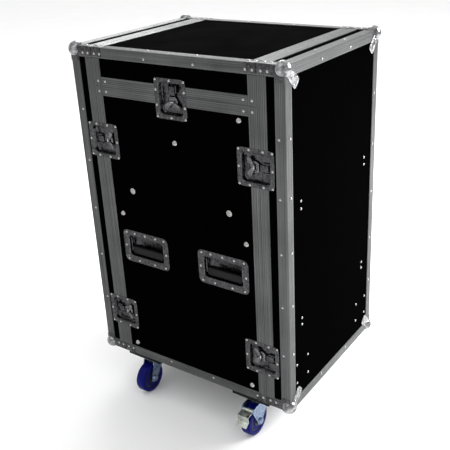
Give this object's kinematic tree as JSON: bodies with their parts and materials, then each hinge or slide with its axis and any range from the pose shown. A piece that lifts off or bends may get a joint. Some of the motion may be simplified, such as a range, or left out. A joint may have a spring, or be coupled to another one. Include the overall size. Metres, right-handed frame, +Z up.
{
  "type": "equipment rack case",
  "caption": "Upright flight case with aluminium edges, lift-off front, rear and top lids, butterfly latches, recessed handles and swivel castors.",
  "frame": {"origin": "on the floor under the middle of the case", "axes": "+Z up, X across the 19-inch width, the front lid faces -Y"},
  "size_m": [0.6306, 0.728, 1.158],
  "materials": {
    "black_laminate": "satin black laminate on birch plywood",
    "edge_aluminium": "ribbed mill aluminium extrusion",
    "zinc_plate": "bright zinc-plated pressed steel",
    "bright_chrome": "bright plated pressed steel",
    "black_steel": "black powder-coated steel",
    "nickel_plate": "nickel-plated dome-head bolts",
    "black_board": "black-painted plywood pad",
    "grip_rubber": "black padded grip on a steel bail",
    "fork_zinc": "blue-passivated zinc-plated steel",
    "blue_wheel": "blue elastic rubber on a black nylon core"
  },
  "bodies": {
    "carcass": {"left_side_panel": "black_laminate", "right_side_panel": "black_laminate", "base_panel": "black_laminate", "body_extrusions": "edge_aluminium", "body_corner_braces": "zinc_plate", "front_rack_rails": "black_steel", "rear_rack_rails": "black_steel", "mixer_rails": "black_steel", "shelf_rails": "black_steel", "rail_bolts": "nickel_plate", "latch_dishes": "zinc_plate", "handle_dishes": "zinc_plate", "caster_pads": "black_board", "caster_top_plates": "black_steel"},
    "front_lid": {"front_lid_boards": "black_laminate", "front_lid_extrusions": "edge_aluminium", "front_lid_corners": "bright_chrome", "front_lid_keepers": "zinc_plate"},
    "rear_lid": {"rear_lid_boards": "black_laminate", "rear_lid_extrusions": "edge_aluminium", "rear_lid_corners": "bright_chrome", "rear_lid_keepers": "zinc_plate"},
    "top_lid": {"top_lid_boards": "black_laminate", "top_lid_extrusions": "edge_aluminium", "top_lid_braces": "zinc_plate", "top_lid_keepers": "zinc_plate"},
    "handle_left_front": {"handle_left_front": "grip_rubber"},
    "handle_left_rear": {"handle_left_rear": "grip_rubber"},
    "handle_right_front": {"handle_right_front": "grip_rubber"},
    "handle_right_rear": {"handle_right_rear": "grip_rubber"},
    "caster_fork_left_front": {"caster_fork_left_front": "fork_zinc"},
    "caster_wheel_left_front": {"caster_wheel_left_front": "blue_wheel"},
    "brake_pedal_left": {"brake_pedal_left": "fork_zinc"},
    "caster_fork_left_rear": {"caster_fork_left_rear": "fork_zinc"},
    "caster_wheel_left_rear": {"caster_wheel_left_rear": "blue_wheel"},
    "caster_fork_right_front": {"caster_fork_right_front": "fork_zinc"},
    "caster_wheel_right_front": {"caster_wheel_right_front": "blue_wheel"},
    "brake_pedal_right": {"brake_pedal_right": "fork_zinc"},
    "caster_fork_right_rear": {"caster_fork_right_rear": "fork_zinc"},
    "caster_wheel_right_rear": {"caster_wheel_right_rear": "blue_wheel"},
    "latch_rotor_left_front_upper": {"latch_rotor_left_front_upper": "zinc_plate"},
    "latch_wing_left_front_upper": {"latch_wing_left_front_upper": "zinc_plate"},
    "latch_rotor_left_front_lower": {"latch_rotor_left_front_lower": "zinc_plate"},
    "latch_wing_left_front_lower": {"latch_wing_left_front_lower": "zinc_plate"},
    "latch_rotor_left_rear_upper": {"latch_rotor_left_rear_upper": "zinc_plate"},
    "latch_wing_left_rear_upper": {"latch_wing_left_rear_upper": "zinc_plate"},
    "latch_rotor_left_rear_lower": {"latch_rotor_left_rear_lower": "zinc_plate"},
    "latch_wing_left_rear_lower": {"latch_wing_left_rear_lower": "zinc_plate"},
    "latch_rotor_left_top": {"latch_rotor_left_top": "zinc_plate"},
    "latch_wing_left_top": {"latch_wing_left_top": "zinc_plate"},
    "latch_rotor_right_front_upper": {"latch_rotor_right_front_upper": "zinc_plate"},
    "latch_wing_right_front_upper": {"latch_wing_right_front_upper": "zinc_plate"},
    "latch_rotor_right_front_lower": {"latch_rotor_right_front_lower": "zinc_plate"},
    "latch_wing_right_front_lower": {"latch_wing_right_front_lower": "zinc_plate"},
    "latch_rotor_right_rear_upper": {"latch_rotor_right_rear_upper": "zinc_plate"},
    "latch_wing_right_rear_upper": {"latch_wing_right_rear_upper": "zinc_plate"},
    "latch_rotor_right_rear_lower": {"latch_rotor_right_rear_lower": "zinc_plate"},
    "latch_wing_right_rear_lower": {"latch_wing_right_rear_lower": "zinc_plate"},
    "latch_rotor_right_top": {"latch_rotor_right_top": "zinc_plate"},
    "latch_wing_right_top": {"latch_wing_right_top": "zinc_plate"}
  },
  "joints": [
    {"name": "front_lid_pull", "type": "slide", "parent": "carcass", "child": "front_lid", "axis": [0, -1, 0], "range_m": [0, 0.15]},
    {"name": "rear_lid_pull", "type": "slide", "parent": "carcass", "child": "rear_lid", "axis": [0, 1, 0], "range_m": [0, 0.15]},
    {"name": "top_lid_lift", "type": "slide", "parent": "carcass", "child": "top_lid", "axis": [0, 0, 1], "range_m": [0, 0.15]},
    {"name": "handle_left_front_swing", "type": "hinge", "parent": "carcass", "child": "handle_left_front", "pos_m": [-0.2567, -0.141, 0.569], "axis": [0, 1, 0], "range_deg": [0, 90]},
    {"name": "handle_left_rear_swing", "type": "hinge", "parent": "carcass", "child": "handle_left_rear", "pos_m": [-0.2567, 0.141, 0.569], "axis": [0, 1, 0], "range_deg": [0, 90]},
    {"name": "handle_right_front_swing", "type": "hinge", "parent": "carcass", "child": "handle_right_front", "pos_m": [0.2567, -0.141, 0.569], "axis": [0, -1, 0], "range_deg": [0, 90]},
    {"name": "handle_right_rear_swing", "type": "hinge", "parent": "carcass", "child": "handle_right_rear", "pos_m": [0.2567, 0.141, 0.569], "axis": [0, -1, 0], "range_deg": [0, 90]},
    {"name": "caster_swivel_left_front", "type": "hinge", "parent": "carcass", "child": "caster_fork_left_front", "pos_m": [-0.2025, -0.208, 0.117], "axis": [0, 0, 1], "continuous": true},
    {"name": "caster_roll_left_front", "type": "hinge", "parent": "caster_fork_left_front", "child": "caster_wheel_left_front", "pos_m": [-0.2415, -0.208, 0.05], "axis": [0, 1, 0], "continuous": true},
    {"name": "brake_press_left", "type": "hinge", "parent": "caster_fork_left_front", "child": "brake_pedal_left", "pos_m": [-0.2705, -0.208, 0.1], "axis": [0, -1, 0], "range_deg": [0, 12]},
    {"name": "caster_swivel_left_rear", "type": "hinge", "parent": "carcass", "child": "caster_fork_left_rear", "pos_m": [-0.2025, 0.208, 0.117], "axis": [0, 0, 1], "continuous": true},
    {"name": "caster_roll_left_rear", "type": "hinge", "parent": "caster_fork_left_rear", "child": "caster_wheel_left_rear", "pos_m": [-0.2415, 0.208, 0.05], "axis": [0, 1, 0], "continuous": true},
    {"name": "caster_swivel_right_front", "type": "hinge", "parent": "carcass", "child": "caster_fork_right_front", "pos_m": [0.2025, -0.208, 0.117], "axis": [0, 0, 1], "continuous": true},
    {"name": "caster_roll_right_front", "type": "hinge", "parent": "caster_fork_right_front", "child": "caster_wheel_right_front", "pos_m": [0.2415, -0.208, 0.05], "axis": [0, 1, 0], "continuous": true},
    {"name": "brake_press_right", "type": "hinge", "parent": "caster_fork_right_front", "child": "brake_pedal_right", "pos_m": [0.2705, -0.208, 0.1], "axis": [0, 1, 0], "range_deg": [0, 12]},
    {"name": "caster_swivel_right_rear", "type": "hinge", "parent": "carcass", "child": "caster_fork_right_rear", "pos_m": [0.2025, 0.208, 0.117], "axis": [0, 0, 1], "continuous": true},
    {"name": "caster_roll_right_rear", "type": "hinge", "parent": "caster_fork_right_rear", "child": "caster_wheel_right_rear", "pos_m": [0.2415, 0.208, 0.05], "axis": [0, 1, 0], "continuous": true},
    {"name": "latch_turn_left_front_upper", "type": "hinge", "parent": "carcass", "child": "latch_rotor_left_front_upper", "pos_m": [-0.2647, -0.253, 0.877], "axis": [-1, 0, 0], "range_deg": [0, 180]},
    {"name": "latch_flip_left_front_upper", "type": "hinge", "parent": "latch_rotor_left_front_upper", "child": "latch_wing_left_front_upper", "pos_m": [-0.2613, -0.253, 0.877], "axis": [0, 0, 1], "range_deg": [0, 90]},
    {"name": "latch_turn_left_front_lower", "type": "hinge", "parent": "carcass", "child": "latch_rotor_left_front_lower", "pos_m": [-0.2647, -0.253, 0.3], "axis": [-1, 0, 0], "range_deg": [0, 180]},
    {"name": "latch_flip_left_front_lower", "type": "hinge", "parent": "latch_rotor_left_front_lower", "child": "latch_wing_left_front_lower", "pos_m": [-0.2613, -0.253, 0.3], "axis": [0, 0, 1], "range_deg": [0, 90]},
    {"name": "latch_turn_left_rear_upper", "type": "hinge", "parent": "carcass", "child": "latch_rotor_left_rear_upper", "pos_m": [-0.2647, 0.253, 0.877], "axis": [-1, 0, 0], "range_deg": [0, 180]},
    {"name": "latch_flip_left_rear_upper", "type": "hinge", "parent": "latch_rotor_left_rear_upper", "child": "latch_wing_left_rear_upper", "pos_m": [-0.2613, 0.253, 0.877], "axis": [0, 0, -1], "range_deg": [0, 90]},
    {"name": "latch_turn_left_rear_lower", "type": "hinge", "parent": "carcass", "child": "latch_rotor_left_rear_lower", "pos_m": [-0.2647, 0.253, 0.3], "axis": [-1, 0, 0], "range_deg": [0, 180]},
    {"name": "latch_flip_left_rear_lower", "type": "hinge", "parent": "latch_rotor_left_rear_lower", "child": "latch_wing_left_rear_lower", "pos_m": [-0.2613, 0.253, 0.3], "axis": [0, 0, -1], "range_deg": [0, 90]},
    {"name": "latch_turn_left_top", "type": "hinge", "parent": "carcass", "child": "latch_rotor_left_top", "pos_m": [-0.2647, 0, 1.0185], "axis": [-1, 0, 0], "range_deg": [0, 180]},
    {"name": "latch_flip_left_top", "type": "hinge", "parent": "latch_rotor_left_top", "child": "latch_wing_left_top", "pos_m": [-0.2613, 0, 1.0185], "axis": [0, 1, 0], "range_deg": [0, 90]},
    {"name": "latch_turn_right_front_upper", "type": "hinge", "parent": "carcass", "child": "latch_rotor_right_front_upper", "pos_m": [0.2647, -0.253, 0.877], "axis": [1, 0, 0], "range_deg": [0, 180]},
    {"name": "latch_flip_right_front_upper", "type": "hinge", "parent": "latch_rotor_right_front_upper", "child": "latch_wing_right_front_upper", "pos_m": [0.2613, -0.253, 0.877], "axis": [0, 0, -1], "range_deg": [0, 90]},
    {"name": "latch_turn_right_front_lower", "type": "hinge", "parent": "carcass", "child": "latch_rotor_right_front_lower", "pos_m": [0.2647, -0.253, 0.3], "axis": [1, 0, 0], "range_deg": [0, 180]},
    {"name": "latch_flip_right_front_lower", "type": "hinge", "parent": "latch_rotor_right_front_lower", "child": "latch_wing_right_front_lower", "pos_m": [0.2613, -0.253, 0.3], "axis": [0, 0, -1], "range_deg": [0, 90]},
    {"name": "latch_turn_right_rear_upper", "type": "hinge", "parent": "carcass", "child": "latch_rotor_right_rear_upper", "pos_m": [0.2647, 0.253, 0.877], "axis": [1, 0, 0], "range_deg": [0, 180]},
    {"name": "latch_flip_right_rear_upper", "type": "hinge", "parent": "latch_rotor_right_rear_upper", "child": "latch_wing_right_rear_upper", "pos_m": [0.2613, 0.253, 0.877], "axis": [0, 0, 1], "range_deg": [0, 90]},
    {"name": "latch_turn_right_rear_lower", "type": "hinge", "parent": "carcass", "child": "latch_rotor_right_rear_lower", "pos_m": [0.2647, 0.253, 0.3], "axis": [1, 0, 0], "range_deg": [0, 180]},
    {"name": "latch_flip_right_rear_lower", "type": "hinge", "parent": "latch_rotor_right_rear_lower", "child": "latch_wing_right_rear_lower", "pos_m": [0.2613, 0.253, 0.3], "axis": [0, 0, 1], "range_deg": [0, 90]},
    {"name": "latch_turn_right_top", "type": "hinge", "parent": "carcass", "child": "latch_rotor_right_top", "pos_m": [0.2647, 0, 1.0185], "axis": [1, 0, 0], "range_deg": [0, 180]},
    {"name": "latch_flip_right_top", "type": "hinge", "parent": "latch_rotor_right_top", "child": "latch_wing_right_top", "pos_m": [0.2613, 0, 1.0185], "axis": [0, -1, 0], "range_deg": [0, 90]}
  ]
}
